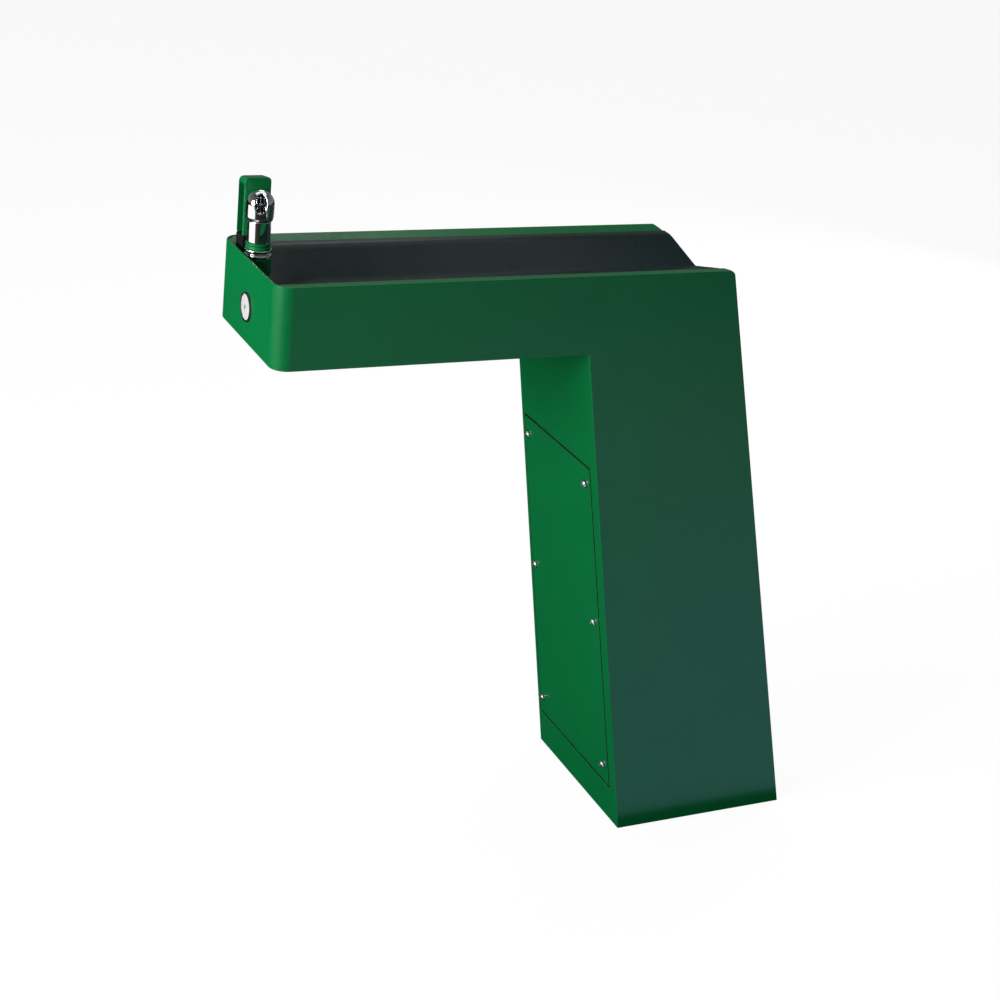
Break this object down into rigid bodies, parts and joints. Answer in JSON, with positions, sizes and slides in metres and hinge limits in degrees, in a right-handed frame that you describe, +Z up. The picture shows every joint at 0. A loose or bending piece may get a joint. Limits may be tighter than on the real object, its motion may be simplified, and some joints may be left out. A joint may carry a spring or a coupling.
{
  "type": "drinking fountain",
  "caption": "Cantilevered drinking fountain: open basin arm on a leaning sheet-metal pedestal, with a hooded bubbler, a guard and a push button at the user's end.",
  "frame": {"origin": "centre of the base plate's underside, on the floor", "axes": "+Z up; -X towards the user, along the arm; +Y to the user's left"},
  "size_m": [0.8527, 0.262, 0.938],
  "materials": {
    "housing_green": "satin",
    "basin_dark": "gloss",
    "chrome": "polished",
    "zinc_steel": "satin",
    "stainless": "satin",
    "brass": "satin",
    "black_plastic": "satin",
    "rubber": "matte",
    "white_plastic": "satin",
    "blue_plastic": "gloss"
  },
  "bodies": {
    "housing": {"access_panel": "housing_green", "anchor_nut_1": "zinc_steel", "anchor_nut_2": "zinc_steel", "anchor_nut_3": "zinc_steel", "anchor_nut_4": "zinc_steel", "anchor_stud_1": "zinc_steel", "anchor_stud_2": "zinc_steel", "anchor_stud_3": "zinc_steel", "anchor_stud_4": "zinc_steel", "arm_underside_panel": "housing_green", "base_plate": "zinc_steel", "basin": "basin_dark", "bezel_nut": "zinc_steel", "bubbler_boss": "housing_green", "bubbler_collar": "housing_green", "bubbler_flange": "chrome", "bubbler_guard": "housing_green", "bubbler_head": "chrome", "bubbler_lock_nut": "brass", "bubbler_nozzle": "chrome", "bubbler_shank": "chrome", "bubbler_tube": "white_plastic", "button_bezel": "black_plastic", "button_spring": "zinc_steel", "drain_elbow": "white_plastic", "drain_gasket": "rubber", "drain_nut": "brass", "drain_strainer": "stainless", "end_panel": "housing_green", "guard_pad": "rubber", "gusset_left": "zinc_steel", "gusset_right": "zinc_steel", "leg_front_frame": "housing_green", "panel_screw_1": "stainless", "panel_screw_2": "stainless", "panel_screw_3": "stainless", "panel_screw_4": "stainless", "panel_screw_5": "stainless", "panel_screw_6": "stainless", "rear_panel": "housing_green", "side_panel_left": "housing_green", "side_panel_right": "housing_green", "stop_valve_body": "chrome", "supply_stub": "zinc_steel", "supply_tube": "white_plastic", "trap_bend": "white_plastic", "trap_nut_inlet": "white_plastic", "trap_nut_outlet": "white_plastic", "upright_left": "zinc_steel", "upright_right": "zinc_steel", "valve_body": "brass", "valve_bracket": "zinc_steel", "valve_lock_nut": "brass", "waste_pipe": "white_plastic", "waste_tail": "white_plastic"},
    "push_button": {"push_button": "chrome"},
    "stop_handle": {"stop_valve_handle": "blue_plastic"},
    "flow_adjuster": {"flow_screw": "zinc_steel"}
  },
  "joints": [
    {"name": "button_press", "type": "slide", "parent": "housing", "child": "push_button", "axis": [1, 0, 0], "range_m": [0, 0.005], "stiffness_N_per_m": 1500, "springref_m": -0.003, "deforming": ["button_spring"]},
    {"name": "stop_handle_turn", "type": "hinge", "parent": "housing", "child": "stop_handle", "pos_m": [0.0057, -0.04, 0.14], "axis": [-1, 0, 0], "range_deg": [0, 90]},
    {"name": "flow_screw_turn", "type": "hinge", "parent": "housing", "child": "flow_adjuster", "pos_m": [-0.664, -0.0092, 0.79], "axis": [0, -1, 0], "range_deg": [-180, 180]}
  ]
}
